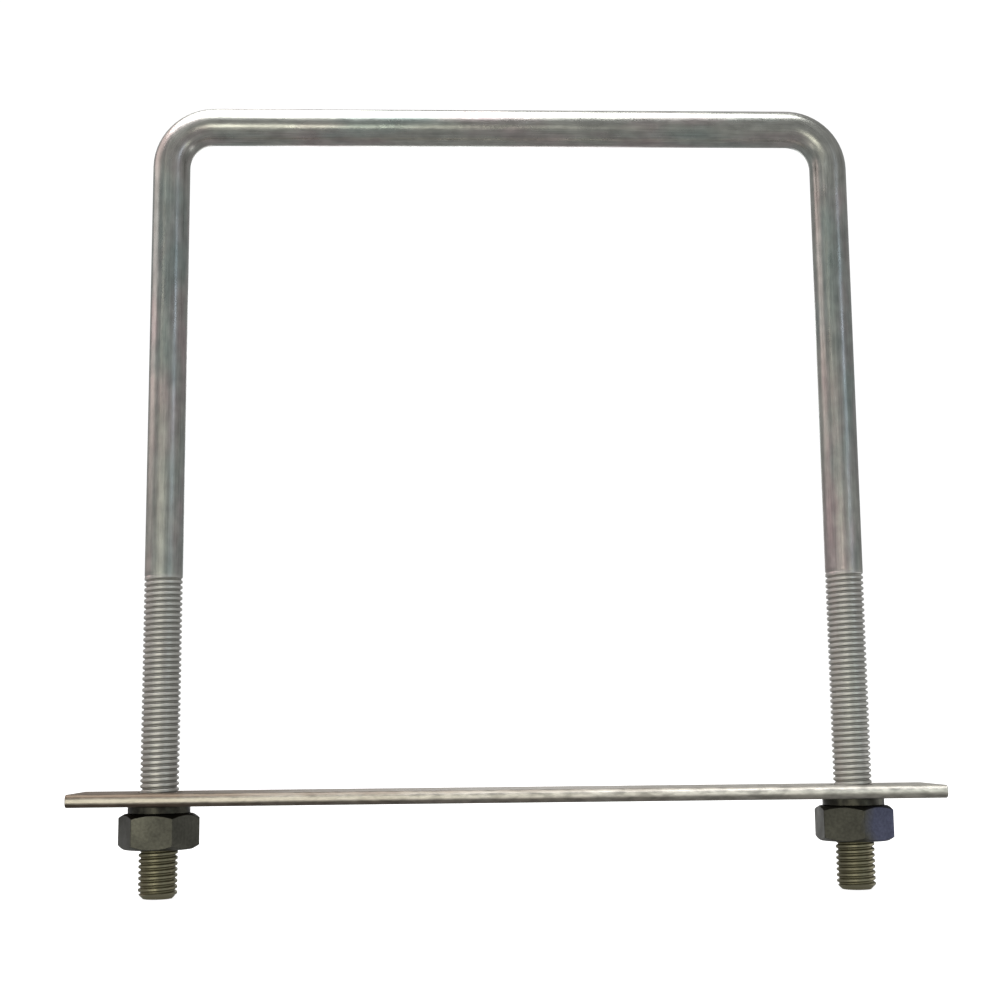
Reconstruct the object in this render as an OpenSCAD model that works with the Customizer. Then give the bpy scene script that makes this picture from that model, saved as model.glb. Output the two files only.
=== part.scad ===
// Square U-bolt: a threaded round rod bent to a square U, a flat clamp plate across its open end,
// and a spring lock washer and a hex nut on each leg.
// The legs stand along Z, the bar across them runs along X, and the origin is midway between the
// two stud ends.

/* [Rod] */
// Diameter of the round rod, and of the thread over its crests
rod_d = 12; // [8:1:16]
// Clear width between the two legs
inner_w = 206; // [80:1:300]
// Height from the stud ends to the top of the bar
overall_h = 255; // [160:1:400]
// Inside radius of the two bends
bend_inner_r = 8; // [4:1:20]
// Bevel turned on each stud end
stud_bevel = 1.5; // [0.5:0.1:2]

/* [Clamp plate] */
// Length of the flat bar
plate_len = 270; // [250:1:400]
// Width of the flat bar
plate_w = 30; // [24:1:60]
// Thickness of the flat bar
plate_t = 4; // [3:0.5:8]
// Radius rolled on the long edges of the flat bar
plate_edge_r = 1.6; // [0.5:0.1:1.9]
// Diameter of the two holes that the legs pass through
plate_hole_d = 13.5; // [12.5:0.1:16]

/* [Spring washers] */
// Outside diameter of each spring lock washer
washer_od = 19.2; // [16:0.1:22]
// Inside diameter of each spring lock washer
washer_id = 12.2; // [12.1:0.1:13]
// Thickness of each spring lock washer, pressed flat
washer_t = 2.5; // [1.5:0.1:4]
// Width of the slanted cut that splits the ring
washer_gap = 1.2; // [0.5:0.1:3]
// Slant of that cut from upright
washer_cut_angle = 25; // [0:1:40]

/* [Nuts] */
// Size of each nut across its flats
nut_af = 22; // [18:0.5:24]
// Height of each nut
nut_h = 10.8; // [8:0.1:16]
// Play between the rod's crests and the bore that stands for the nut's thread
nut_play = 0.05; // [0.02:0.01:0.1]
// Angle that a corner of the left nut makes with +X
nut_left_turn = -2; // [-30:1:30]
// Angle that a corner of the right nut makes with +X
nut_right_turn = 30; // [-30:1:30]
// Length of stud below each nut
stub = 15; // [2:1:40]

/* [Hidden] */
rod_r = rod_d / 2;
leg_x = inner_w / 2 + rod_r;
bend_r = bend_inner_r + rod_r;
bar_z = overall_h - rod_r;
nut_z = stub;
washer_z = nut_z + nut_h;
plate_z = washer_z + washer_t;
nut_corner_d = nut_af / cos(30);
nut_bore_r = rod_r + nut_play;
// The corners of a nut are turned off at 30 degrees, to a circle a little inside its flats
chamfer_angle = 30;
nut_face_r = nut_af / 2 * 0.96;
nut_sink = 1;
// Drills and cutting shapes run this far past the faces that they cut
past = 1;
$fn = 96;

// One leg, from its bevelled stud end up to the start of the bend
module leg() {
    translate([0, 0, stud_bevel])
        cylinder(h = bar_z - bend_r - stud_bevel, r = rod_r);
    cylinder(h = stud_bevel, r1 = rod_r - stud_bevel, r2 = rod_r);
}

// The quarter bend over the leg at +X, in the plane of the U
module bend() {
    translate([leg_x - bend_r, 0, bar_z - bend_r])
        rotate([90, 0, 0])
            rotate_extrude(angle = 90)
                translate([bend_r, 0])
                    circle(r = rod_r);
}

module rod() {
    color("#8f918c") {
        for (side = [0, 1])
            mirror([side, 0, 0]) {
                translate([leg_x, 0, 0]) leg();
                bend();
            }
        translate([bend_r - leg_x, 0, bar_z])
            rotate([0, 90, 0])
                cylinder(h = 2 * (leg_x - bend_r), r = rod_r);
    }
}

// The flat bar's section, with its long edges rolled round
module plate_section() {
    reach = plate_w / 2 - plate_edge_r;
    square([2 * reach, plate_t], center = true);
    square([plate_w, plate_t - 2 * plate_edge_r], center = true);
    for (x = [-reach, reach], y = [-1, 1])
        translate([x, y * (plate_t / 2 - plate_edge_r)])
            circle(r = plate_edge_r);
}

module plate() {
    color("#7d776c")
        difference() {
            translate([-plate_len / 2, 0, plate_z + plate_t / 2])
                rotate([90, 0, 90])
                    linear_extrude(plate_len)
                        plate_section();
            for (x = [-leg_x, leg_x])
                translate([x, 0, plate_z - past])
                    cylinder(h = plate_t + 2 * past, d = plate_hole_d);
        }
}

// A flattened spring lock washer on the Z axis, split by a slanted cut on its +Y side
module spring_washer() {
    color("#34332f")
        difference() {
            cylinder(h = washer_t, d = washer_od);
            translate([0, 0, -past])
                cylinder(h = washer_t + 2 * past, d = washer_id);
            translate([0, washer_od / 2, washer_t / 2])
                rotate([0, washer_cut_angle, 0])
                    cube([washer_gap, washer_od, 3 * washer_t], center = true);
        }
}

module washer_left() {
    translate([-leg_x, 0, washer_z]) spring_washer();
}

module washer_right() {
    translate([leg_x, 0, washer_z]) spring_washer();
}

// The turned outline of a nut: full width at mid height, bevelled at both faces
module nut_turning() {
    corner_r = nut_corner_d / 2 + past;
    slope = (corner_r - nut_face_r) * tan(chamfer_angle);
    rotate_extrude()
        polygon([
            [0, 0], [nut_face_r, 0], [corner_r, slope],
            [corner_r, nut_h - slope], [nut_face_r, nut_h], [0, nut_h],
        ]);
}

module hex_nut() {
    color("#4b4a44")
        difference() {
            intersection() {
                cylinder(h = nut_h, d = nut_corner_d, $fn = 6);
                nut_turning();
            }
            translate([0, 0, -past])
                cylinder(h = nut_h + 2 * past, r = nut_bore_r);
            cylinder(h = nut_sink, r1 = nut_bore_r + nut_sink, r2 = nut_bore_r);
            translate([0, 0, nut_h - nut_sink])
                cylinder(h = nut_sink, r1 = nut_bore_r, r2 = nut_bore_r + nut_sink);
        }
}

module nut_left() {
    translate([-leg_x, 0, nut_z])
        rotate([0, 0, nut_left_turn])
            hex_nut();
}

module nut_right() {
    translate([leg_x, 0, nut_z])
        rotate([0, 0, nut_right_turn])
            hex_nut();
}

rod();
plate();
washer_left();
washer_right();
nut_left();
nut_right();
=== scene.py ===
"""Square U-bolt with its clamp plate, spring lock washers and hex nuts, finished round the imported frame."""

import math

import bmesh
import bpy
from bpy.props import FloatProperty, FloatVectorProperty, IntProperty, PointerProperty
from mathutils import Matrix, Quaternion, Vector


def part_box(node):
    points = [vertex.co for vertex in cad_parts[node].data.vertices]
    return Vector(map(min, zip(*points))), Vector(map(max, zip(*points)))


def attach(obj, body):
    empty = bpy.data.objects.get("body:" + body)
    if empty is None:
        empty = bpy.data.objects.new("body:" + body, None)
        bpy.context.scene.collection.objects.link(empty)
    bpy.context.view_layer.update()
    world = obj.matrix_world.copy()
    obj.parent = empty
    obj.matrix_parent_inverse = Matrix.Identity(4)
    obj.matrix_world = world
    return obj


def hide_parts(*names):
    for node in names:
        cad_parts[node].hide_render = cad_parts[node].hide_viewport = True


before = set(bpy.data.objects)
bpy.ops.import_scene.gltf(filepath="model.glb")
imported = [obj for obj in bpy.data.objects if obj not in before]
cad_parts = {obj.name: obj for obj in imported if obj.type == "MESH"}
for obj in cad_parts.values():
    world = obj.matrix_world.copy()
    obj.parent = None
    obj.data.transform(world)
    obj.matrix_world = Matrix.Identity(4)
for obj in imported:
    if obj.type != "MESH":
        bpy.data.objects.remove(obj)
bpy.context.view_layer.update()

bl_info = {
    "name": "Square U-bolt",
    "version": (1, 0, 0),
    "blender": (4, 5, 0),
    "location": "3D View > Sidebar > U-bolt",
    "description": "Builds a square U-bolt with its clamp plate, washers and nuts, and a plain studio",
    "category": "Add Mesh",
}

MM = 0.001

ROD_LO, ROD_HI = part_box("rod")
PLATE_LO, PLATE_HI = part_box("plate")
WASHER_LO, WASHER_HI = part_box("washer_right")
NUT_LO, NUT_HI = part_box("nut_right")
ROD_R = (ROD_HI.y - ROD_LO.y) / 2
LEG_X = (ROD_HI.x - ROD_LO.x) / 2 - ROD_R

STAGE_CENTRE = Vector((0.0, 0.0, 0.13))
BACKDROP_R = 4.0
WELD = 0.001 * MM
# What the frame doesn't give of the rod: its M12 threads, its bends along its axis, and its stud ends
PITCH = 1.75 * MM
THREAD_LENGTH = 100 * MM
RUN_OUT = 1.6 * MM
BEND_R = 14 * MM
STUD_BEVEL = 1.5 * MM
ROD_SEGMENTS = 48
NUT_SEGMENTS = 96
ROWS_PER_TURN = 12
# Flats on the crests and in the roots of the rolled thread, as shares of its pitch
CREST_FLAT = 0.38
ROOT_FLAT = 0.16
# Depth of the 60 degree thread between those flats, as a share of its pitch
DEPTH_SHARE = (1 - CREST_FLAT - ROOT_FLAT) / 2 * math.tan(math.radians(60))
# Hair of play that keeps a nut's top out of the washer's plane as it turns
SEAT_PLAY = 0.02 * MM
# Length of one row of faces on the plain rod
PLAIN_ROW = 1.5 * MM
# Edges sharper than this stay crisp, on the threaded pieces and on the plate and washers
THREADED_CREASE = math.radians(38)
PLAIN_CREASE = math.radians(50)
# Edges sharper than this are softened on a nut, down to those of its 30 degree chamfers
NUT_SOFTENED = math.radians(20)
# Softening of the washers' cut ends
WASHER_END_BEVEL = 0.12 * MM
# Even light from all round, under the soft boxes
SURROUNDINGS = 0.42
# Gap under the stud ends, so that they and the floor never share a plane
FLOOR_DROP = 0.2 * MM
SENSOR_MM = 36.0

MATH = "ShaderNodeMath"
TAU = 2 * math.pi
ROD_INPUTS = (
    ("Leg offset", "Float", LEG_X), ("Height", "Float", ROD_HI.z - ROD_LO.z),
    ("Radius", "Float", ROD_R), ("Bend radius", "Float", BEND_R), ("Bend flattening", "Float", 0.0),
    ("Bevel", "Float", STUD_BEVEL), ("Pitch", "Float", PITCH),
    ("Thread length", "Float", THREAD_LENGTH), ("Run out", "Float", RUN_OUT),
    ("Segments", "Int", ROD_SEGMENTS), ("Rows per turn", "Int", ROWS_PER_TURN))


# ---------------------------------------------------------------- settings

def colour(code):
    """Linear colour of an sRGB hex code, with a full alpha."""
    values = [int(code[i:i + 2], 16) / 255 for i in (1, 3, 5)]
    return [v / 12.92 if v <= 0.04045 else ((v + 0.055) / 1.055) ** 2.4 for v in values] + [1.0]


def colour_setting(name, description, code):
    """A colour that the user can change."""
    return FloatVectorProperty(
        name=name, description=description, default=colour(code), size=4, subtype="COLOR",
        min=0.0, max=1.0)


class UBoltRodSettings(bpy.types.PropertyGroup):
    """Sizes and colours of the bent, threaded rod"""
    radius: FloatProperty(
        name="Radius", description="Radius of the round rod", default=ROD_R, unit="LENGTH")
    leg_x: FloatProperty(
        name="Leg offset", description="Distance of each leg from the middle", default=LEG_X,
        unit="LENGTH")
    height: FloatProperty(
        name="Height", description="Stud ends to the top of the bar", default=ROD_HI.z - ROD_LO.z,
        unit="LENGTH")
    bend_radius: FloatProperty(
        name="Bend radius", description="Radius of the bends along the rod's axis", default=BEND_R,
        unit="LENGTH")
    bend_flattening: FloatProperty(
        name="Bend flattening", description="Share of its thickness that the rod loses in a cold bend",
        default=0.01, subtype="FACTOR")
    bevel: FloatProperty(
        name="Stud bevel", description="Bevel turned on each stud end", default=STUD_BEVEL,
        unit="LENGTH")
    pitch: FloatProperty(
        name="Thread pitch", description="Travel of a nut in one turn", default=PITCH, unit="LENGTH")
    thread_length: FloatProperty(
        name="Thread length", description="Thread on each leg, from its stud end", default=THREAD_LENGTH,
        unit="LENGTH")
    run_out: FloatProperty(
        name="Run out", description="Length over which the thread fades into the rod", default=RUN_OUT,
        unit="LENGTH")
    zinc: colour_setting("Zinc", "Zinc on the plain rod", "#A3A49E")
    pink_film: colour_setting("Pink film", "Zinc where its clear film looks pink", "#AB9D9E")
    green_film: colour_setting("Green film", "Zinc where its clear film looks green", "#8F9C98")
    thread_zinc: colour_setting("Thread zinc", "Zinc on the rolled thread", "#C6C5C0")
    # Painted shade and grime in the thread's grooves
    groove_shade_and_grime: colour_setting("Grime", "Grime in the thread's grooves", "#6E6C66")
    # Olive painted shade for the stud ends under the plate and nuts
    stud_shade: colour_setting("Oil", "Oil film on the stud ends", "#777255")
    segments: IntProperty(name="Segments", description="Faces round the rod", default=ROD_SEGMENTS)
    rows_per_turn: IntProperty(
        name="Rows per turn", description="Faces along one turn of the thread", default=ROWS_PER_TURN)


class UBoltPlateSettings(bpy.types.PropertyGroup):
    """Colours of the clamp plate, and the sizes that the frame doesn't give"""
    hole: FloatProperty(
        name="Hole", description="Diameter of the two punched holes", default=13.5 * MM, unit="LENGTH")
    edge_radius: FloatProperty(
        name="Edge radius", description="Radius rolled on the long edges", default=1.6 * MM,
        unit="LENGTH")
    edge_bevel: FloatProperty(
        name="Edge bevel", description="Softening of the cut ends and the holes' rims",
        default=0.3 * MM, unit="LENGTH")
    brown_scale: colour_setting("Brown scale", "Faces at the left end", "#62574C")
    dull_zinc: colour_setting("Dull zinc", "Faces at the right end", "#A29F97")
    # Painted highlight along the middle of the plate's edges, dimmer at the left end and brighter at the
    # right
    dim_edge_highlight: colour_setting("Scuffed edge", "Middle of the edges at the left end", "#C4BDAF")
    bright_edge_highlight: colour_setting("Bright edge", "Middle of the edges at the right end", "#ECE9E0")


class UBoltWasherSettings(bpy.types.PropertyGroup):
    """Colours of the spring lock washers, and the sizes that the frame doesn't give"""
    inside: FloatProperty(
        name="Inside", description="Inside diameter", default=12.2 * MM, unit="LENGTH")
    gap: FloatProperty(
        name="Gap", description="Width of the cut that splits the ring", default=1.2 * MM, unit="LENGTH")
    slant: FloatProperty(
        name="Slant", description="Slant of that cut from upright", default=math.radians(25),
        subtype="ANGLE")
    corner: FloatProperty(
        name="Corner", description="Radius of the wire's corners", default=0.35 * MM, unit="LENGTH")
    phosphate: colour_setting("Phosphate", "Dark coating of the washers", "#3A3934")
    worn: colour_setting("Worn", "Coating where it is rubbed thin", "#5D5C52")
    segments: IntProperty(name="Segments", description="Faces round the ring", default=96)


class UBoltNutSettings(bpy.types.PropertyGroup):
    """Colours of the nuts, and the sizes that the frame doesn't give"""
    across_flats: FloatProperty(
        name="Across flats", description="Size of the spanner that fits", default=22 * MM, unit="LENGTH")
    face_share: FloatProperty(
        name="Face share", description="Diameter of the round faces as a share of the flats",
        default=0.96, subtype="FACTOR")
    chamfer: FloatProperty(
        name="Chamfer", description="Angle at which the corners are turned off",
        default=math.radians(30), subtype="ANGLE")
    bevel: FloatProperty(
        name="Bevel", description="Softening of the nut's edges", default=0.15 * MM, unit="LENGTH")
    sink: FloatProperty(
        name="Sink", description="Depth of the sunk mouth of the bore", default=1 * MM, unit="LENGTH")
    clearance: FloatProperty(
        name="Clearance", description="Play of the nut's thread on the rod's", default=0.06 * MM,
        unit="LENGTH")
    left_turn: FloatProperty(
        name="Left turn", description="Angle of a corner of the left nut from +X",
        default=math.radians(-2), subtype="ANGLE")
    right_turn: FloatProperty(
        name="Right turn", description="Angle of a corner of the right nut from +X",
        default=math.radians(30), subtype="ANGLE")
    steel: colour_setting("Steel", "Oiled steel of the nuts", "#504F44")
    # Painted bluish reflection on the right nut's outer side
    painted_blue_reflection: colour_setting("Temper blue", "Patch on the right nut", "#4C5068")
    segments: IntProperty(
        name="Segments", description="Faces round the nut, a multiple of six", default=NUT_SEGMENTS)


class UBoltStageSettings(bpy.types.PropertyGroup):
    """The camera's place and the strength of the studio lights"""
    camera_place: FloatVectorProperty(
        name="Camera place", description="Where the camera stands", default=(-0.0216, -0.5138, 0.0494),
        subtype="TRANSLATION", unit="LENGTH")
    heading: FloatProperty(
        name="Heading", description="How far the camera looks to the right of +Y",
        default=math.radians(2.2), subtype="ANGLE")
    tilt: FloatProperty(
        name="Tilt", description="How far the camera looks up", default=math.radians(8.24),
        subtype="ANGLE")
    roll: FloatProperty(
        name="Roll", description="How far the camera leans to its left", default=math.radians(0.58),
        subtype="ANGLE")
    lens: FloatProperty(
        name="Lens", description="Focal length on a 36 mm wide sensor", default=58 * MM, unit="CAMERA")
    light: FloatProperty(
        name="Light", description="Strength of all the studio lights together", default=1.0, min=0.0)


# ---------------------------------------------------------------- nodes and materials

def add_node(tree, kind, *values, **named):
    """Add a node. Values feed its inputs in order. A name with a capital feeds that input, and a name
    without one is a setting."""
    node = tree.nodes.new(kind)
    for name in named:
        if name[0].islower():
            setattr(node, name, named[name])
    open_inputs = [s for s in node.inputs if s.enabled]
    by_name = {}
    for socket in open_inputs:
        by_name.setdefault(socket.name, socket)
    feeds = list(zip(open_inputs, values))
    feeds += [(by_name[n.replace("_", " ")], v) for n, v in named.items() if not n[0].islower()]
    for socket, value in feeds:
        if isinstance(value, bpy.types.Node):
            value = next(s for s in value.outputs if s.enabled)
        if isinstance(value, bpy.types.NodeSocket):
            tree.links.new(value, socket)
        elif value is not None:
            socket.default_value = value
    return node


def new_material(name, **shader_values):
    """A new metal: returns the material, its node tree and its shader."""
    material = bpy.data.materials.new(name)
    material.use_nodes = True
    tree = material.node_tree
    tree.nodes.clear()
    shader = add_node(tree, "ShaderNodeBsdfPrincipled", Metallic=1.0, **shader_values)
    add_node(tree, "ShaderNodeOutputMaterial", Surface=shader)
    return material, tree, shader


def zinc_rod_material(rod):
    """Electro-galvanised drawn steel: soft grey shine, faint rainbow clouds, fine marks along the rod."""
    material, tree, shader = new_material("electro_galvanised_drawn_steel")
    straight = add_node(tree, "ShaderNodeAttribute", attribute_name="straight").outputs["Vector"]
    place = add_node(tree, "ShaderNodeTexCoord").outputs["Object"]

    # Passivation clouds, 30 mm long and 9 mm wide, turn the zinc faintly pink and faintly green
    drawn_out = add_node(tree, "ShaderNodeMapping", straight, Scale=(1, 1, 0.3))
    pink_cloud = add_node(tree, "ShaderNodeTexNoise", Vector=drawn_out, Scale=1 / (9 * MM), Detail=3.0)
    pink = add_node(tree, "ShaderNodeMapRange", pink_cloud, 0.46, 0.68, 0.0, 0.75)
    green_cloud = add_node(tree, "ShaderNodeTexNoise", Vector=add_node(
        tree, "ShaderNodeMapping", drawn_out, Location=(0.05, 0.02, 0.3)),
        Scale=1 / (11 * MM), Detail=3.0)
    green = add_node(tree, "ShaderNodeMapRange", green_cloud, 0.48, 0.7, 0.0, 0.8)
    tint = add_node(tree, "ShaderNodeMix", data_type="RGBA", Factor=pink,
                    A=rod.zinc, B=rod.pink_film)
    tint = add_node(tree, "ShaderNodeMix", data_type="RGBA", Factor=green,
                    A=tint, B=rod.green_film)

    # Scuffs and drawing marks, 0.5 mm wide and 14 mm long
    marks_place = add_node(tree, "ShaderNodeMapping", straight, Scale=(1, 1, 0.036))
    marks = add_node(tree, "ShaderNodeTexNoise", Vector=marks_place, Scale=1 / (0.5 * MM), Detail=4.0)
    mark_shade = add_node(tree, "ShaderNodeMapRange", marks, 0.35, 0.65, 0.84, 1.08)
    tint = add_node(tree, "ShaderNodeVectorMath", tint, mark_shade, operation="MULTIPLY")

    # Mottling of the plated surface, in blots 3 mm across
    blots = add_node(tree, "ShaderNodeTexNoise", Vector=add_node(
        tree, "ShaderNodeMapping", straight, Scale=(1, 1, 0.6)), Scale=1 / (3 * MM), Detail=3.0)
    blot_shade = add_node(tree, "ShaderNodeMapRange", blots, 0.35, 0.65, 0.86, 1.1)
    tint = add_node(tree, "ShaderNodeVectorMath", tint, blot_shade, operation="MULTIPLY")

    # The rolled thread is brighter than the plain rod, with painted shade and grime in its grooves: the
    # surface there is nearer the rod's axis than the plain rod is
    height = add_node(tree, "ShaderNodeSeparateXYZ", place).outputs["Z"]
    threaded = add_node(tree, "ShaderNodeMapRange", height, rod.thread_length - 1.5 * MM,
                        rod.thread_length + 0.5 * MM, 0.8, 0.0)
    tint = add_node(tree, "ShaderNodeMix", data_type="RGBA", Factor=threaded,
                    A=tint, B=rod.thread_zinc)
    axis_distance = add_node(tree, "ShaderNodeVectorMath", add_node(
        tree, "ShaderNodeVectorMath", straight, (1, 1, 0), operation="MULTIPLY"),
        operation="LENGTH").outputs["Value"]
    groove = add_node(tree, "ShaderNodeMapRange", axis_distance, rod.radius - 0.85 * MM,
                      rod.radius - 0.2 * MM, 1.0, 0.0)
    tint = add_node(tree, "ShaderNodeMix", data_type="RGBA", Factor=add_node(
        tree, MATH, groove, 0.6, operation="MULTIPLY"), A=tint, B=rod.groove_shade_and_grime)

    # Painted shade: an olive darkening of the stud ends, up to inside the nuts, where the plate and nuts
    # shade them
    stud_shade_edge = add_node(tree, "ShaderNodeTexNoise", Vector=place, Scale=1 / (4 * MM), Detail=2.0)
    stud_shade_top = add_node(tree, MATH, add_node(
        tree, MATH, stud_shade_edge, 6 * MM, operation="MULTIPLY"), height, operation="ADD")
    stud_shade = add_node(tree, "ShaderNodeMapRange", stud_shade_top, NUT_LO.z + 4 * MM, NUT_LO.z + 8 * MM, 0.85, 0.0)
    tint = add_node(tree, "ShaderNodeMix", data_type="RGBA", Factor=stud_shade, A=tint, B=rod.stud_shade)
    tree.links.new(tint.outputs[2], shader.inputs["Base Color"])

    # Duller in patches, in the grooves, and lower down, where it is handled most
    rough_cloud = add_node(tree, "ShaderNodeTexNoise", Vector=drawn_out, Scale=1 / (4 * MM), Detail=3.0)
    rough = add_node(tree, "ShaderNodeMapRange", rough_cloud, 0.3, 0.7, 0.24, 0.35)
    rough = add_node(tree, MATH, groove, 0.12, rough, operation="MULTIPLY_ADD")
    handled = add_node(tree, "ShaderNodeMapRange", height, 90 * MM, 190 * MM, 0.15, 0.0)
    rough = add_node(tree, MATH, rough, handled, operation="ADD")
    tree.links.new(rough.outputs[0], shader.inputs["Roughness"])

    # Drawing marks and shallow pits, 1.6 mm across
    pits = add_node(tree, "ShaderNodeTexNoise", Vector=straight, Scale=1 / (1.6 * MM), Detail=4.0)
    bump = add_node(tree, "ShaderNodeBump", Strength=0.35, Distance=0.03 * MM, Height=marks)
    bump = add_node(tree, "ShaderNodeBump", Strength=0.4, Distance=0.08 * MM, Height=pits, Normal=bump)
    tree.links.new(bump.outputs[0], shader.inputs["Normal"])
    return material


def zinc_plate_material(plate):
    """Galvanised hot-rolled flat bar: warm grey, with speckle and a painted highlight along its rolled edges.
    """
    material, tree, shader = new_material("galvanised_hot_rolled_flat_bar")
    place = add_node(tree, "ShaderNodeTexCoord").outputs["Object"]
    clouds = add_node(tree, "ShaderNodeTexNoise", Vector=place, Scale=1 / (16 * MM), Detail=4.0)
    x, _, z = add_node(tree, "ShaderNodeSeparateXYZ", place).outputs

    # Brown scale on the flat faces, more of it to the left, and a painted highlight along the middle of the
    # edges, dimmer at the left end
    reach = add_node(tree, MATH, clouds, 0.16, x, operation="MULTIPLY_ADD")
    bright_end = add_node(tree, "ShaderNodeMapRange", reach, -0.03, 0.19, 0.0, 1.0)
    face_tint = add_node(tree, "ShaderNodeMix", data_type="RGBA", Factor=bright_end,
                         A=plate.brown_scale, B=plate.dull_zinc)
    edge_highlight_tint = add_node(tree, "ShaderNodeMix", data_type="RGBA", Factor=bright_end,
                         A=plate.dim_edge_highlight, B=plate.bright_edge_highlight)
    # The painted highlight is a band about the middle of the edges' height, 0.6 mm higher at the right end
    up = add_node(tree, MATH, z, (PLATE_LO.z + PLATE_HI.z) / 2, operation="SUBTRACT")
    off_middle = add_node(tree, MATH, add_node(
        tree, MATH, bright_end, -0.6 * MM, up, operation="MULTIPLY_ADD"), operation="ABSOLUTE")
    off_highlight = add_node(tree, "ShaderNodeMapRange", off_middle, 0.35 * MM, 1.1 * MM, 0.0, 1.0)
    tint = add_node(tree, "ShaderNodeMix", data_type="RGBA", Factor=off_highlight, A=edge_highlight_tint, B=face_tint)

    # Rolling speckle, 1.3 mm wide and nearly 4 mm long
    along = add_node(tree, "ShaderNodeMapping", place, Scale=(0.35, 1, 1))
    speckle = add_node(tree, "ShaderNodeTexNoise", Vector=along, Scale=1 / (1.3 * MM), Detail=4.0)
    shade = add_node(tree, "ShaderNodeMapRange", speckle, 0.35, 0.65, 0.72, 1.18)
    tint = add_node(tree, "ShaderNodeVectorMath", tint, shade, operation="MULTIPLY")
    tree.links.new(tint.outputs[0], shader.inputs["Base Color"])
    rough = add_node(tree, "ShaderNodeMapRange", speckle, 0.3, 0.7, 0.36, 0.52)
    rough = add_node(tree, MATH, off_highlight, 0.12, rough, operation="MULTIPLY_ADD")
    tree.links.new(rough.outputs[0], shader.inputs["Roughness"])

    # Dents left by mill scale, 2.4 mm across
    scale_marks = add_node(tree, "ShaderNodeTexNoise", Vector=place, Scale=1 / (2.4 * MM), Detail=3.0)
    bump = add_node(tree, "ShaderNodeBump", Strength=0.5, Distance=0.05 * MM, Height=speckle)
    bump = add_node(tree, "ShaderNodeBump", Strength=0.4, Distance=0.12 * MM, Height=scale_marks,
                    Normal=bump)
    tree.links.new(bump.outputs[0], shader.inputs["Normal"])
    return material


def nut_material(nut):
    """Oiled forged steel: dark olive grey with a low, broken shine, and a painted bluish reflection on the
    right nut.
    """
    material, tree, shader = new_material("oiled_forged_steel")
    place = add_node(tree, "ShaderNodeTexCoord").outputs["Object"]
    clouds = add_node(tree, "ShaderNodeTexNoise", Vector=place, Scale=1 / (7 * MM), Detail=4.0)
    # A painted bluish reflection of the light at the right, about 14 mm across, on the right nut's outer side
    patch = add_node(tree, "ShaderNodeVectorMath", place, (
        LEG_X + 10 * MM, -7 * MM, (NUT_LO.z + NUT_HI.z) / 2), operation="DISTANCE").outputs["Value"]
    patch = add_node(tree, MATH, clouds, -5 * MM, patch, operation="MULTIPLY_ADD")
    blue = add_node(tree, "ShaderNodeMapRange", patch, 5 * MM, 9 * MM, 0.8, 0.08)
    tint = add_node(tree, "ShaderNodeMix", data_type="RGBA", Factor=blue,
                    A=nut.steel, B=nut.painted_blue_reflection)
    grain = add_node(tree, "ShaderNodeTexNoise", Vector=place, Scale=1 / (0.9 * MM), Detail=4.0)
    shade = add_node(tree, "ShaderNodeMapRange", grain, 0.35, 0.65, 0.84, 1.1)
    tint = add_node(tree, "ShaderNodeVectorMath", tint, shade, operation="MULTIPLY")
    tree.links.new(tint.outputs[0], shader.inputs["Base Color"])
    rough = add_node(tree, "ShaderNodeMapRange", clouds, 0.3, 0.7, 0.34, 0.5)
    tree.links.new(rough.outputs[0], shader.inputs["Roughness"])
    bump = add_node(tree, "ShaderNodeBump", Strength=0.4, Distance=0.05 * MM, Height=grain)
    tree.links.new(bump.outputs[0], shader.inputs["Normal"])
    return material


def washer_material(washer):
    """Phosphated spring steel: nearly black, with a dull oily shine."""
    material, tree, shader = new_material("phosphated_spring_steel")
    place = add_node(tree, "ShaderNodeTexCoord").outputs["Object"]
    clouds = add_node(tree, "ShaderNodeTexNoise", Vector=place, Scale=1 / (3 * MM), Detail=4.0)
    worn = add_node(tree, "ShaderNodeMapRange", clouds, 0.45, 0.7, 0.0, 1.0)
    tint = add_node(tree, "ShaderNodeMix", data_type="RGBA", Factor=worn,
                    A=washer.phosphate, B=washer.worn)
    tree.links.new(tint.outputs[2], shader.inputs["Base Color"])
    rough = add_node(tree, "ShaderNodeMapRange", clouds, 0.3, 0.7, 0.32, 0.5)
    tree.links.new(rough.outputs[0], shader.inputs["Roughness"])
    grain = add_node(tree, "ShaderNodeTexNoise", Vector=place, Scale=1 / (0.5 * MM), Detail=3.0)
    bump = add_node(tree, "ShaderNodeBump", Strength=0.3, Distance=0.03 * MM, Height=grain)
    tree.links.new(bump.outputs[0], shader.inputs["Normal"])
    return material


# ---------------------------------------------------------------- threads and rod

def new_tree(name, *inputs):
    """An empty geometry tree with its named inputs: each is (name, socket kind, default)."""
    tree = bpy.data.node_groups.new(name, "GeometryNodeTree")
    for label, kind, default in inputs:
        socket = tree.interface.new_socket(label, in_out="INPUT", socket_type="NodeSocket" + kind)
        if default is not None:
            socket.default_value = default
    tree.interface.new_socket("Geometry", in_out="OUTPUT", socket_type="NodeSocketGeometry")
    given = tree.nodes.new("NodeGroupInput").outputs
    return tree, given


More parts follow.
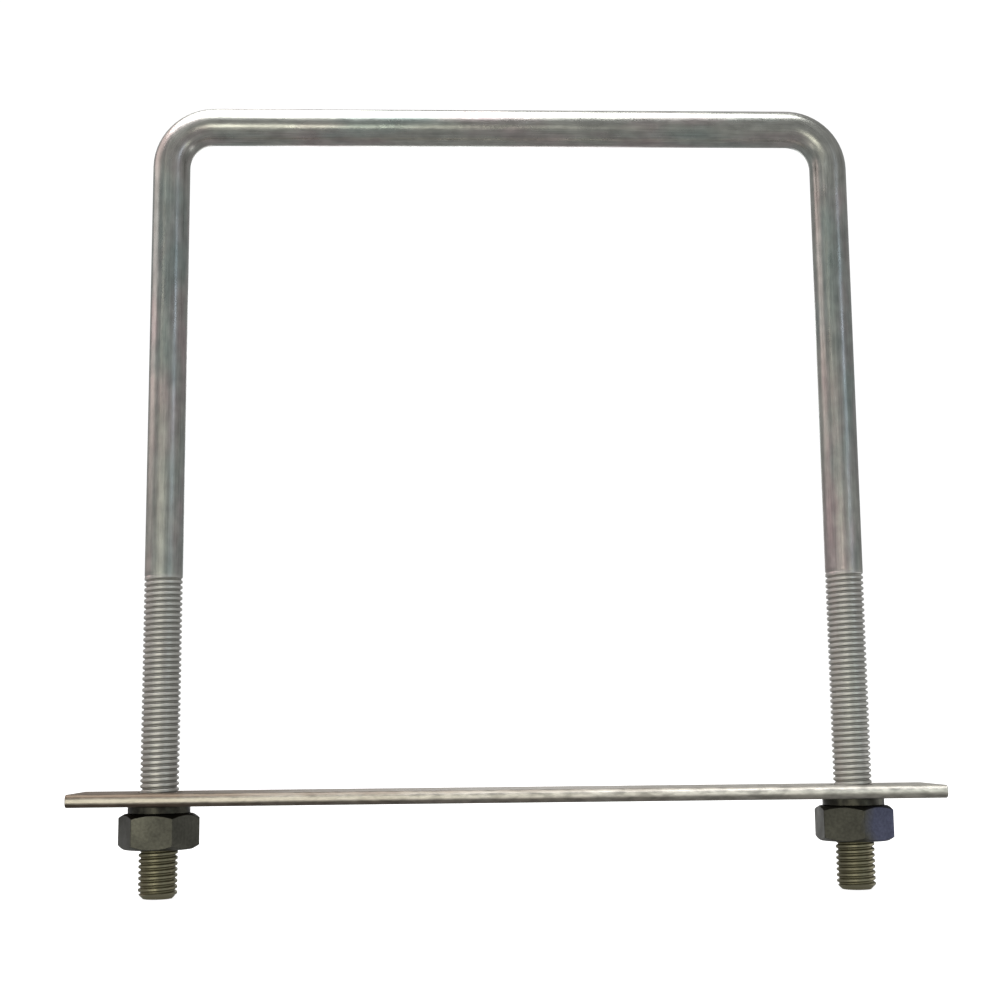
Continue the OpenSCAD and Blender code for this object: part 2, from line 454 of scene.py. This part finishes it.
def thread_tree():
    """A straight screw thread round Z: a sheet whose rows follow the helix, rolled up and welded."""
    tree, given = new_tree(
        "Screw thread",
        ("Pitch", "Float", PITCH), ("Low end", "Float", 0.0), ("High end", "Float", THREAD_LENGTH),
        ("Crest radius", "Float", ROD_R), ("Depth", "Float", DEPTH_SHARE * PITCH),
        ("Run out", "Float", 0.01 * MM), ("Hand", "Float", 1.0), ("Start", "Float", 0.0),
        ("Side", "Float", 1.0), ("Low cone radius", "Float", ROD_R - STUD_BEVEL),
        ("High cone radius", "Float", ROD_R), ("Segments", "Int", ROD_SEGMENTS),
        ("Rows per turn", "Int", ROWS_PER_TURN))
    pitch, low, high = given["Pitch"], given["Low end"], given["High end"]
    segments, per_turn = given["Segments"], given["Rows per turn"]
    hand, start, side = given["Hand"], given["Start"], given["Side"]

    # Rows enough to cover the length, plus one turn because the rows slant
    first = add_node(tree, MATH, add_node(
        tree, MATH, add_node(tree, MATH, low, pitch, operation="DIVIDE"), start, operation="ADD"),
        operation="FLOOR")
    last = add_node(tree, MATH, add_node(
        tree, MATH, add_node(tree, MATH, high, pitch, operation="DIVIDE"), start, operation="ADD"),
        operation="CEIL")
    turns = add_node(tree, MATH, add_node(
        tree, MATH, last, first, operation="SUBTRACT"), 1.0, operation="ADD")
    rows = add_node(tree, MATH, turns, per_turn, operation="MULTIPLY")
    sheet = add_node(
        tree, "GeometryNodeMeshGrid", rows, segments,
        add_node(tree, MATH, rows, 1.0, operation="ADD"),
        add_node(tree, MATH, segments, 1.0, operation="ADD"))
    at = add_node(tree, "ShaderNodeSeparateXYZ", add_node(tree, "GeometryNodeInputPosition"))
    row = add_node(tree, MATH, at.outputs["X"], add_node(
        tree, MATH, rows, 0.5, operation="MULTIPLY"), operation="ADD")
    column = add_node(tree, MATH, at.outputs["Y"], add_node(
        tree, MATH, segments, 0.5, operation="MULTIPLY"), operation="ADD")
    turn = add_node(tree, MATH, column, segments, operation="DIVIDE")
    lean = add_node(tree, MATH, hand, turn, operation="MULTIPLY")

    # Height of each point: its row, plus the share of a turn that it has leant round the helix
    back = add_node(tree, MATH, add_node(
        tree, MATH, hand, 1.0, operation="ADD"), -0.5, operation="MULTIPLY")
    climbed = add_node(tree, MATH, row, per_turn, operation="DIVIDE")
    for part in (lean, back, first):
        climbed = add_node(tree, MATH, climbed, part, operation="ADD")
    climbed = add_node(tree, MATH, climbed, start, operation="SUBTRACT")
    z = add_node(tree, MATH, climbed, pitch, operation="MULTIPLY")
    z = add_node(tree, MATH, z, low, operation="MAXIMUM")
    z = add_node(tree, MATH, z, high, operation="MINIMUM")

    # 60 degree profile, with flats on its crest and in its root
    phase = add_node(tree, MATH, add_node(
        tree, MATH, add_node(tree, MATH, z, pitch, operation="DIVIDE"), start, operation="ADD"),
        lean, operation="SUBTRACT")
    phase = add_node(tree, MATH, phase, operation="FRACT")
    from_crest = add_node(tree, MATH, add_node(
        tree, MATH, phase, 2.0, -1.0, operation="MULTIPLY_ADD"), operation="ABSOLUTE")
    cut = add_node(tree, "ShaderNodeMapRange", from_crest, ROOT_FLAT, 1 - CREST_FLAT, 1.0, 0.0)
    fade = add_node(tree, MATH, add_node(
        tree, MATH, high, z, operation="SUBTRACT"), given["Run out"], operation="DIVIDE", use_clamp=True)
    cut = add_node(tree, MATH, add_node(
        tree, MATH, cut, fade, operation="MULTIPLY"), given["Depth"], operation="MULTIPLY")
    radius = add_node(tree, MATH, given["Crest radius"], cut, operation="SUBTRACT")

    # Cones at both ends, cut into a stud (side 1) or sunk into a nut (side -1)
    radius = add_node(tree, MATH, radius, side, operation="MULTIPLY")
    for cone, run in (("Low cone radius", (z, low)), ("High cone radius", (high, z))):
        limit = add_node(tree, MATH, add_node(
            tree, MATH, given[cone], side, operation="MULTIPLY"), add_node(
            tree, MATH, *run, operation="SUBTRACT"), operation="ADD")
        radius = add_node(tree, MATH, radius, limit, operation="MINIMUM")
    radius = add_node(tree, MATH, radius, side, operation="MULTIPLY")

    angle = add_node(tree, MATH, turn, TAU, operation="MULTIPLY")
    point = add_node(
        tree, "ShaderNodeCombineXYZ",
        add_node(tree, MATH, add_node(tree, MATH, angle, operation="COSINE"), radius,
                 operation="MULTIPLY"),
        add_node(tree, MATH, add_node(tree, MATH, angle, operation="SINE"), radius,
                 operation="MULTIPLY"), z)
    rolled = add_node(tree, "GeometryNodeSetPosition", sheet, Position=point)
    welded = add_node(tree, "GeometryNodeMergeByDistance", rolled, Distance=WELD)
    add_node(tree, "NodeGroupOutput", welded)
    return tree


def half_rod_tree(thread):
    """One leg with its bend and half of the bar: a straight rod, threaded from its end and then bent."""
    tree, given = new_tree("Half rod", *ROD_INPUTS, ("Side", "Float", 1.0))
    radius, bend, side = given["Radius"], given["Bend radius"], given["Side"]
    threaded_to = given["Thread length"]

    # The leg ends where the bend starts, and the rod's middle is half of the bar beyond the bend
    leg = add_node(tree, MATH, add_node(
        tree, MATH, given["Height"], radius, operation="SUBTRACT"), bend, operation="SUBTRACT")
    bend_end = add_node(tree, MATH, bend, math.pi / 2, leg, operation="MULTIPLY_ADD")
    middle = add_node(tree, MATH, add_node(
        tree, MATH, given["Leg offset"], bend, operation="SUBTRACT"), bend_end, operation="ADD")
    plain = add_node(tree, MATH, middle, threaded_to, operation="SUBTRACT")

    # The two legs' threads are in step, so their nuts turn alike: the left leg is a mirror image
    start = add_node(tree, MATH, side, -0.25, 0.25, operation="MULTIPLY_ADD")
    low_radius = add_node(tree, MATH, radius, given["Bevel"], operation="SUBTRACT")
    thread = add_node(tree, "GeometryNodeGroup", node_tree=thread, **{
        "Pitch": given["Pitch"], "High end": threaded_to, "Crest radius": radius,
        "Depth": add_node(tree, MATH, given["Pitch"], DEPTH_SHARE, operation="MULTIPLY"),
        "Run out": given["Run out"], "Hand": side, "Start": start, "Low cone radius": low_radius,
        "High cone radius": radius, "Segments": given["Segments"],
        "Rows per turn": given["Rows per turn"]})
    end_face = add_node(tree, "GeometryNodeMeshCircle", fill_type="NGON",
                        Vertices=given["Segments"], Radius=low_radius)
    shank = add_node(
        tree, "GeometryNodeMeshCylinder", fill_type="NONE", Vertices=given["Segments"],
        Side_Segments=add_node(tree, MATH, plain, PLAIN_ROW, operation="DIVIDE"),
        Radius=radius, Depth=plain)
    shank = add_node(tree, "GeometryNodeTransform", shank, Translation=add_node(
        tree, "ShaderNodeCombineXYZ", Z=add_node(
            tree, MATH, plain, 0.5, threaded_to, operation="MULTIPLY_ADD")))
    join = add_node(tree, "GeometryNodeJoinGeometry", thread)
    tree.links.new(shank.outputs[0], join.inputs[0])
    tree.links.new(end_face.outputs[0], join.inputs[0])
    straight = add_node(tree, "GeometryNodeMergeByDistance", join, Distance=WELD)

    # The straight rod's own coordinates carry its finish round the bends, from one stud end to the other
    at = add_node(tree, "ShaderNodeSeparateXYZ", add_node(tree, "GeometryNodeInputPosition"))
    x, y, s = at.outputs
    before = add_node(tree, MATH, add_node(
        tree, MATH, s, middle, operation="SUBTRACT"), side, operation="MULTIPLY")
    marked = add_node(
        tree, "GeometryNodeStoreNamedAttribute", straight, data_type="FLOAT_VECTOR", Name="straight",
        Value=add_node(tree, "ShaderNodeCombineXYZ", x, y, before))

    # Bend the rod: a cold bend presses it thinner in the bend's plane and wider across it
    turned = add_node(tree, MATH, add_node(
        tree, MATH, s, leg, operation="SUBTRACT"), bend, operation="DIVIDE")
    turned = add_node(tree, "ShaderNodeClamp", turned, 0.0, math.pi / 2)
    sine = add_node(tree, MATH, turned, operation="SINE")
    cosine = add_node(tree, MATH, turned, operation="COSINE")
    pressed = add_node(tree, MATH, add_node(
        tree, MATH, sine, cosine, operation="MULTIPLY"), given["Bend flattening"], operation="MULTIPLY")
    x = add_node(tree, MATH, x, add_node(
        tree, MATH, pressed, -2.0, 1.0, operation="MULTIPLY_ADD"), operation="MULTIPLY")
    y = add_node(tree, MATH, y, add_node(
        tree, MATH, pressed, 1.2, 1.0, operation="MULTIPLY_ADD"), operation="MULTIPLY")
    out = add_node(tree, MATH, add_node(tree, MATH, bend, x, operation="ADD"), cosine,
                   given["Leg offset"], operation="MULTIPLY_ADD")
    out = add_node(tree, MATH, out, bend, operation="SUBTRACT")
    past_bend = add_node(tree, MATH, add_node(
        tree, MATH, s, bend_end, operation="SUBTRACT"), 0.0, operation="MAXIMUM")
    out = add_node(tree, MATH, out, past_bend, operation="SUBTRACT")
    up = add_node(tree, MATH, add_node(tree, MATH, bend, x, operation="ADD"), sine,
                  add_node(tree, MATH, s, leg, operation="MINIMUM"), operation="MULTIPLY_ADD")
    bent = add_node(tree, "GeometryNodeSetPosition", marked, Position=add_node(
        tree, "ShaderNodeCombineXYZ", add_node(tree, MATH, out, side, operation="MULTIPLY"), y, up))
    add_node(tree, "NodeGroupOutput", bent)
    return tree


def rod_tree(half):
    """The whole rod: two halves, welded at the middle of the bar."""
    tree, given = new_tree("U-bolt rod", *ROD_INPUTS, ("Material", "Material", None))
    sizes = {name: given[name] for name, _, _ in ROD_INPUTS}
    join = add_node(tree, "GeometryNodeJoinGeometry", add_node(
        tree, "GeometryNodeGroup", node_tree=half, Side=1.0, **sizes))
    left = add_node(tree, "GeometryNodeGroup", node_tree=half, Side=-1.0, **sizes)
    tree.links.new(left.outputs[0], join.inputs[0])
    close_tree(tree, given, add_node(tree, "GeometryNodeMergeByDistance", join, Distance=WELD))
    return tree


def bore_tree(thread):
    """The threaded bore of a nut, with a sunk mouth at both ends."""
    names = ("Pitch", "Low end", "High end", "Crest radius", "Depth", "Start",
             "Low cone radius", "High cone radius")
    tree, given = new_tree(
        "Nut bore", *((name, "Float", 0.0) for name in names), ("Segments", "Int", NUT_SEGMENTS),
        ("Rows per turn", "Int", ROWS_PER_TURN), ("Material", "Material", None))
    feeds = {name: given[name] for name in (*names, "Segments", "Rows per turn")}
    close_tree(tree, given, add_node(tree, "GeometryNodeGroup", node_tree=thread, Side=-1.0, **feeds))
    return tree


def close_tree(tree, given, shape):
    """End a tree with real geometry that has its material."""
    real = add_node(tree, "GeometryNodeRealizeInstances", shape)
    painted = add_node(tree, "GeometryNodeSetMaterial", real, Material=given["Material"])
    add_node(tree, "NodeGroupOutput", painted)


# ---------------------------------------------------------------- meshes and pieces

def link(name, data):
    """A new object in the scene."""
    made = bpy.data.objects.new(name, data)
    bpy.context.scene.collection.objects.link(made)
    return made


def object_of(bm, name):
    """Turn a bmesh into a new object, and free it."""
    mesh = bpy.data.meshes.new(name)
    bm.to_mesh(mesh)
    bm.free()
    return link(name, mesh)


def bevel_edges(host, width, segments, angle):
    """Soften the edges of an object that are sharper than an angle."""
    bevel = host.modifiers.new("bevel", "BEVEL")
    bevel.width = width
    bevel.segments = segments
    bevel.limit_method = "ANGLE"
    bevel.angle_limit = angle


def evaluated_mesh(source):
    """The object's mesh with its modifiers applied; the object itself is removed."""
    mesh = bpy.data.meshes.new_from_object(source.evaluated_get(bpy.context.evaluated_depsgraph_get()))
    bpy.data.objects.remove(source)
    return mesh


def grown(tree, values):
    """The plain mesh that a tree makes from these values."""
    host = link("host", bpy.data.meshes.new("host"))
    modifier = host.modifiers.new("tree", "NODES")
    modifier.node_group = tree
    keys = {item.name: item.identifier for item in tree.interface.items_tree if item.in_out == "INPUT"}
    for name, value in values.items():
        modifier[keys[name]] = value
    return evaluated_mesh(host)


def tidy_mesh(mesh, sharp_angle):
    """Weld a mesh, turn its faces outwards, and smooth it up to an angle."""
    bm = bmesh.new()
    bm.from_mesh(mesh)
    bmesh.ops.remove_doubles(bm, verts=bm.verts, dist=WELD)
    bmesh.ops.recalc_face_normals(bm, faces=bm.faces)
    open_edges = sum(not edge.is_manifold for edge in bm.edges)
    bm.to_mesh(mesh)
    bm.free()
    if open_edges:
        raise RuntimeError(f"{mesh.name} has {open_edges} open edges")
    mesh.shade_smooth()
    mesh.set_sharp_from_angle(angle=sharp_angle)
    return mesh


def even_normals(mesh):
    """Let large flat faces keep their flat look next to small bevels."""
    host = link("host", mesh)
    host.modifiers.new("normals", "WEIGHTED_NORMAL").keep_sharp = True
    return evaluated_mesh(host)


def place_piece(name, mesh, material, body):
    """Make a mesh the finished piece for the CAD node of the same body."""
    mesh.name = name
    mesh.materials.clear()
    mesh.materials.append(material)
    piece = link(name, mesh)
    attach(piece, body)
    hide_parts(body)


def rings_mesh(rings):
    """A bmesh from rows of points, with faces between neighbours and each row closed on itself."""
    bm = bmesh.new()
    rows = [[bm.verts.new(point) for point in ring] for ring in rings]
    count = len(rows[0])
    for low, high in zip(rows, rows[1:]):
        for k in range(count):
            n = (k + 1) % count
            bm.faces.new((low[k], low[n], high[n], high[k]))
    return bm, rows


def arc(centre, radius, first, last, steps):
    """Points on an arc from the first to the last angle, in degrees."""
    angles = [math.radians(first + (last - first) * k / steps) for k in range(steps + 1)]
    return [(centre[0] + radius * math.cos(a), centre[1] + radius * math.sin(a)) for a in angles]


def rounded_box(half_w, half_h, radius, steps):
    """Outline of a rectangle with rounded corners, centred on the origin."""
    corners = ((1, 1, 0), (-1, 1, 90), (-1, -1, 180), (1, -1, 270))
    return [point for sx, sy, first in corners
            for point in arc((sx * (half_w - radius), sy * (half_h - radius)), radius,
                             first, first + 90, steps)]


class UBOLT_OT_rod(bpy.types.Operator):
    """Build the threaded rod, bent to a square U"""
    bl_idname = "ubolt.rod"
    bl_label = "Rod"

    def execute(self, context):
        rod = context.scene.ubolt_rod
        half = half_rod_tree(thread_tree())
        mesh = grown(rod_tree(half), {
            "Leg offset": rod.leg_x, "Height": rod.height, "Radius": rod.radius,
            "Bend radius": rod.bend_radius, "Bend flattening": rod.bend_flattening,
            "Bevel": rod.bevel, "Pitch": rod.pitch, "Thread length": rod.thread_length,
            "Run out": rod.run_out, "Segments": rod.segments, "Rows per turn": rod.rows_per_turn})
        place_piece("threaded_rod", tidy_mesh(mesh, THREADED_CREASE), zinc_rod_material(rod),
                    "rod")
        return {"FINISHED"}


class UBOLT_OT_plate(bpy.types.Operator):
    """Build the flat clamp plate with its two holes"""
    bl_idname = "ubolt.plate"
    bl_label = "Clamp plate"

    def execute(self, context):
        plate, rod = context.scene.ubolt_plate, context.scene.ubolt_rod
        middle = (PLATE_LO + PLATE_HI) / 2
        length, width, height = PLATE_HI - PLATE_LO
        outline = rounded_box(width / 2, height / 2, plate.edge_radius, 8)
        bm, rows = rings_mesh([[(x, y, middle.z + z) for y, z in outline]
                               for x in (-length / 2, length / 2)])
        for row in rows:
            bm.faces.new(row)
        bmesh.ops.recalc_face_normals(bm, faces=bm.faces)
        bar = object_of(bm, "bar")

        bm = bmesh.new()
        for x in (-rod.leg_x, rod.leg_x):
            bmesh.ops.create_cone(
                bm, cap_ends=True, segments=72, radius1=plate.hole / 2, radius2=plate.hole / 2,
                depth=3 * height, matrix=Matrix.Translation((x, 0, middle.z)))
        punches = object_of(bm, "punches")

        holes = bar.modifiers.new("holes", "BOOLEAN")
        holes.operation = "DIFFERENCE"
        holes.object = punches
        holes.solver = "EXACT"
        bevel_edges(bar, plate.edge_bevel, 3, PLAIN_CREASE)
        mesh = evaluated_mesh(bar)
        bpy.data.objects.remove(punches)
        place_piece("clamp_plate", even_normals(tidy_mesh(mesh, PLAIN_CREASE)),
                    zinc_plate_material(plate), "plate")
        return {"FINISHED"}


class UBOLT_OT_washers(bpy.types.Operator):
    """Build a split spring lock washer for each leg"""
    bl_idname = "ubolt.washers"
    bl_label = "Spring washers"

    def execute(self, context):
        washer, rod = context.scene.ubolt_washer, context.scene.ubolt_rod
        material = washer_material(washer)
        thick = WASHER_HI.z - WASHER_LO.z
        inner, outer = washer.inside / 2, (WASHER_HI.x - WASHER_LO.x) / 2
        section = rounded_box((outer - inner) / 2, thick / 2, washer.corner, 4)
        half_gap = washer.gap / math.cos(washer.slant) / 2
        for side, body in ((-1, "washer_left"), (1, "washer_right")):
            rings = []
            for column in range(washer.segments + 1):
                share = column / washer.segments
                ring = []
                for across, up in section:
                    r = (inner + outer) / 2 + across
                    edge = math.asin(half_gap / r)
                    a = math.pi / 2 + edge + share * (TAU - 2 * edge) - up * math.tan(washer.slant) / r
                    ring.append((side * rod.leg_x + r * math.cos(a), r * math.sin(a),
                                 (WASHER_LO.z + WASHER_HI.z) / 2 + up))
                rings.append(ring)
            bm, rows = rings_mesh(rings)
            for row in (rows[0], rows[-1]):
                bm.faces.new(row)
            bmesh.ops.recalc_face_normals(bm, faces=bm.faces)
            host = object_of(bm, "washer")
            bevel_edges(host, WASHER_END_BEVEL, 2, PLAIN_CREASE)
            mesh = tidy_mesh(evaluated_mesh(host), PLAIN_CREASE)
            place_piece("spring_" + body, even_normals(mesh), material, body)
        return {"FINISHED"}


class UBOLT_OT_nuts(bpy.types.Operator):
    """Build a chamfered hex nut with its internal thread for each leg"""
    bl_idname = "ubolt.nuts"
    bl_label = "Hex nuts"

    def execute(self, context):
        nut, rod = context.scene.ubolt_nut, context.scene.ubolt_rod
        material = nut_material(nut)
        bore = bore_tree(bpy.data.node_groups.get("Screw thread") or thread_tree())
        low, high = NUT_LO.z, NUT_HI.z - SEAT_PLAY
        face_r = nut.across_flats / 2 * nut.face_share
        mouth = rod.radius + nut.sink + nut.clearance
        for side, body, turn in ((-1, "nut_left", nut.left_turn), (1, "nut_right", nut.right_turn)):
            rings = [[] for _ in range(6)]
            for column in range(nut.segments):
                a = TAU * column / nut.segments
                flat_r = nut.across_flats / 2 / math.cos((a % (TAU / 6)) - TAU / 12)
                chamfer = (flat_r - face_r) * math.tan(nut.chamfer)
                levels = ((mouth, low), (face_r, low), (flat_r, low + chamfer),
                          (flat_r, high - chamfer), (face_r, high), (mouth, high))
                for ring, (r, z) in zip(rings, levels):
                    ring.append((r * math.cos(a), r * math.sin(a), z))
            bm, _ = rings_mesh(rings)
            bmesh.ops.recalc_face_normals(bm, faces=bm.faces)
            host = object_of(bm, "skin")
            bevel_edges(host, nut.bevel, 2, NUT_SOFTENED)
            skin = evaluated_mesh(host)
            threads = grown(bore, {
                "Pitch": rod.pitch, "Low end": low, "High end": high,
                "Crest radius": rod.radius + nut.clearance,
                "Depth": DEPTH_SHARE * rod.pitch, "Start": -turn / TAU, "Low cone radius": mouth,
                "High cone radius": mouth, "Segments": nut.segments,
                "Rows per turn": rod.rows_per_turn})
            bm = bmesh.new()
            bm.from_mesh(skin)
            bm.from_mesh(threads)
            bm.transform(Matrix.Translation((side * rod.leg_x, 0, 0)) @ Matrix.Rotation(turn, 4, "Z"))
            mesh = bpy.data.meshes.new(body)
            bm.to_mesh(mesh)
            bm.free()
            mesh = even_normals(tidy_mesh(mesh, THREADED_CREASE))
            place_piece("hex_" + body, mesh, material, body)
        return {"FINISHED"}


# ---------------------------------------------------------------- stage

def soft_box(name, azimuth, elevation, distance, size, brightness, tint="#FFFFFF"):
    """An area light that faces the object. Azimuth 0 is in front of it, and 90 at its right."""
    a, e = math.radians(azimuth), math.radians(elevation)
    away = Vector((math.sin(a) * math.cos(e), -math.cos(a) * math.cos(e), math.sin(e)))
    lamp = bpy.data.lights.new(name, "AREA")
    lamp.shape = "RECTANGLE"
    lamp.size, lamp.size_y = size
    lamp.energy = brightness * math.pi * size[0] * size[1] * bpy.context.scene.ubolt_stage.light
    lamp.color = colour(tint)[:3]
    light = link(name, lamp)
    light.location = STAGE_CENTRE + away * distance
    light.rotation_mode = "QUATERNION"
    light.rotation_quaternion = (-away).to_track_quat("-Z", "Y")
    light.visible_camera = False


def glow_material(name, tint, strength):
    """Plain matt white that also shines, so that the backdrop stays clean: returns the material, its
    node tree and its shader."""
    material = bpy.data.materials.new(name)
    material.use_nodes = True
    tree = material.node_tree
    tree.nodes.clear()
    shader = add_node(tree, "ShaderNodeBsdfPrincipled", Roughness=0.9, **{
        "Base Color": colour(tint), "Emission Color": (1.0, 1.0, 1.0, 1.0),
        "Emission Strength": strength, "Specular IOR Level": 0.0})
    add_node(tree, "ShaderNodeOutputMaterial", Surface=shader)
    return material, tree, shader


class UBOLT_OT_stage(bpy.types.Operator):
    """Build the pale floor, the backdrop, the lights and the camera"""
    bl_idname = "ubolt.stage"
    bl_label = "Stage"

    def execute(self, context):
        self.floor_and_backdrop()
        self.lights(context)
        self.camera(context)
        context.scene.view_settings.view_transform = "Standard"
        return {"FINISHED"}

    def floor_and_backdrop(self):
        """A floor and a dome, seen by the camera only, so that they don't light the object."""
        bm = bmesh.new()
        bmesh.ops.create_circle(bm, cap_ends=True, segments=96, radius=BACKDROP_R)
        bmesh.ops.translate(bm, verts=bm.verts, vec=(0, 0, ROD_LO.z - FLOOR_DROP))
        floor = object_of(bm, "floor")
        material, tree, shader = glow_material("matt_white_floor", "#8C8C8C", 0.8)
        # A little darker round the studs, and as bright as the backdrop from 0.6 m out
        place = add_node(tree, "ShaderNodeTexCoord").outputs["Object"]
        away = add_node(tree, "ShaderNodeVectorMath", place, operation="LENGTH").outputs["Value"]
        glow = add_node(tree, "ShaderNodeMapRange", away, 0.15, 0.6, 0.93, 1.1)
        tree.links.new(glow.outputs[0], shader.inputs["Emission Strength"])
        floor.data.materials.append(material)

        bm = bmesh.new()
        bmesh.ops.create_uvsphere(bm, u_segments=48, v_segments=24, radius=BACKDROP_R)
        bmesh.ops.reverse_faces(bm, faces=bm.faces)
        dome = object_of(bm, "backdrop")
        dome.data.materials.append(glow_material("matt_white_backdrop", "#000000", 1.05)[0])
        for stage_object in (floor, dome):
            stage_object.visible_glossy = False
            stage_object.visible_diffuse = False
            stage_object.visible_shadow = False

    def lights(self, context):
        """Soft boxes on all sides, and even light from all round: name, azimuth, elevation, distance,
        size, brightness and tint."""
        soft_box("overhead", -50, 77, 1.0, (1.1, 0.9), 7.0)
        soft_box("front_band", -12, -5.5, 1.3, (0.36, 0.32), 4.6, "#FFFCEC")
        soft_box("right_window", 44, 8, 1.2, (0.14, 0.6), 2.3, "#DCEAFF")
        soft_box("left_window", -36, 8, 1.2, (0.12, 0.6), 1.7, "#FFF6E6")
        soft_box("left_wall", -95, 33, 1.2, (0.8, 1.1), 1.2, "#FFE4E2")
        soft_box("low_right", 43, -10, 0.45, (0.06, 0.10), 3.5, "#F2FFE8")
        soft_box("low_left", -42, -18, 0.45, (0.14, 0.10), 1.9, "#FFFFF0")
        soft_box("low_side", 95, -20, 0.4, (0.2, 0.1), 1.6)
        soft_box("rear_window", 180, 5, 1.3, (0.4, 0.6), 1.8)
        world = bpy.data.worlds.new("studio")
        world.use_nodes = True
        tree = world.node_tree
        tree.nodes.clear()
        add_node(tree, "ShaderNodeOutputWorld", Surface=add_node(
            tree, "ShaderNodeBackground", (1.0, 1.0, 1.0, 1.0), SURROUNDINGS))
        context.scene.world = world

    def camera(self, context):
        """The camera, low in front of the object and looking a little up."""
        stage = context.scene.ubolt_stage
        ahead = Vector((math.sin(stage.heading) * math.cos(stage.tilt),
                        math.cos(stage.heading) * math.cos(stage.tilt), math.sin(stage.tilt)))
        lens = bpy.data.cameras.new("camera")
        lens.sensor_width = SENSOR_MM
        lens.lens = stage.lens / MM
        lens.clip_start = 0.01
        lens.clip_end = 5 * BACKDROP_R
        camera = link("camera", lens)
        camera.rotation_mode = "QUATERNION"
        turn = ahead.to_track_quat("-Z", "Y")
        camera.rotation_quaternion = turn @ Quaternion((0, 0, 1), -stage.roll)
        camera.location = stage.camera_place
        context.scene.camera = camera


class UBOLT_PT_panel(bpy.types.Panel):
    """Settings and build buttons of the U-bolt"""
    bl_idname = "UBOLT_PT_panel"
    bl_label = "Square U-bolt"
    bl_space_type = "VIEW_3D"
    bl_region_type = "UI"
    bl_category = "U-bolt"

    def draw(self, context):
        for group, operator in STEPS:
            box = self.layout.box()
            settings = getattr(context.scene, group)
            for name in settings.__annotations__:
                box.prop(settings, name)
            box.operator(operator)


STEPS = (("ubolt_rod", "ubolt.rod"), ("ubolt_plate", "ubolt.plate"), ("ubolt_washer", "ubolt.washers"),
         ("ubolt_nut", "ubolt.nuts"), ("ubolt_stage", "ubolt.stage"))
SETTINGS = {"ubolt_rod": UBoltRodSettings, "ubolt_plate": UBoltPlateSettings,
            "ubolt_washer": UBoltWasherSettings, "ubolt_nut": UBoltNutSettings,
            "ubolt_stage": UBoltStageSettings}
CLASSES = (*SETTINGS.values(), UBOLT_OT_rod, UBOLT_OT_plate, UBOLT_OT_washers, UBOLT_OT_nuts,
           UBOLT_OT_stage, UBOLT_PT_panel)


def register():
    """Register the classes, and give each scene its settings."""
    for cls in CLASSES:
        bpy.utils.register_class(cls)
    for name, cls in SETTINGS.items():
        setattr(bpy.types.Scene, name, PointerProperty(type=cls))


def unregister():
    """Take them away again."""
    for name in SETTINGS:
        delattr(bpy.types.Scene, name)
    for cls in reversed(CLASSES):
        bpy.utils.unregister_class(cls)


def main():
    """Build every piece and the stage."""
    register()
    bpy.ops.ubolt.rod()
    bpy.ops.ubolt.plate()
    bpy.ops.ubolt.washers()
    bpy.ops.ubolt.nuts()
    bpy.ops.ubolt.stage()


if __name__ == "__main__":
    main()
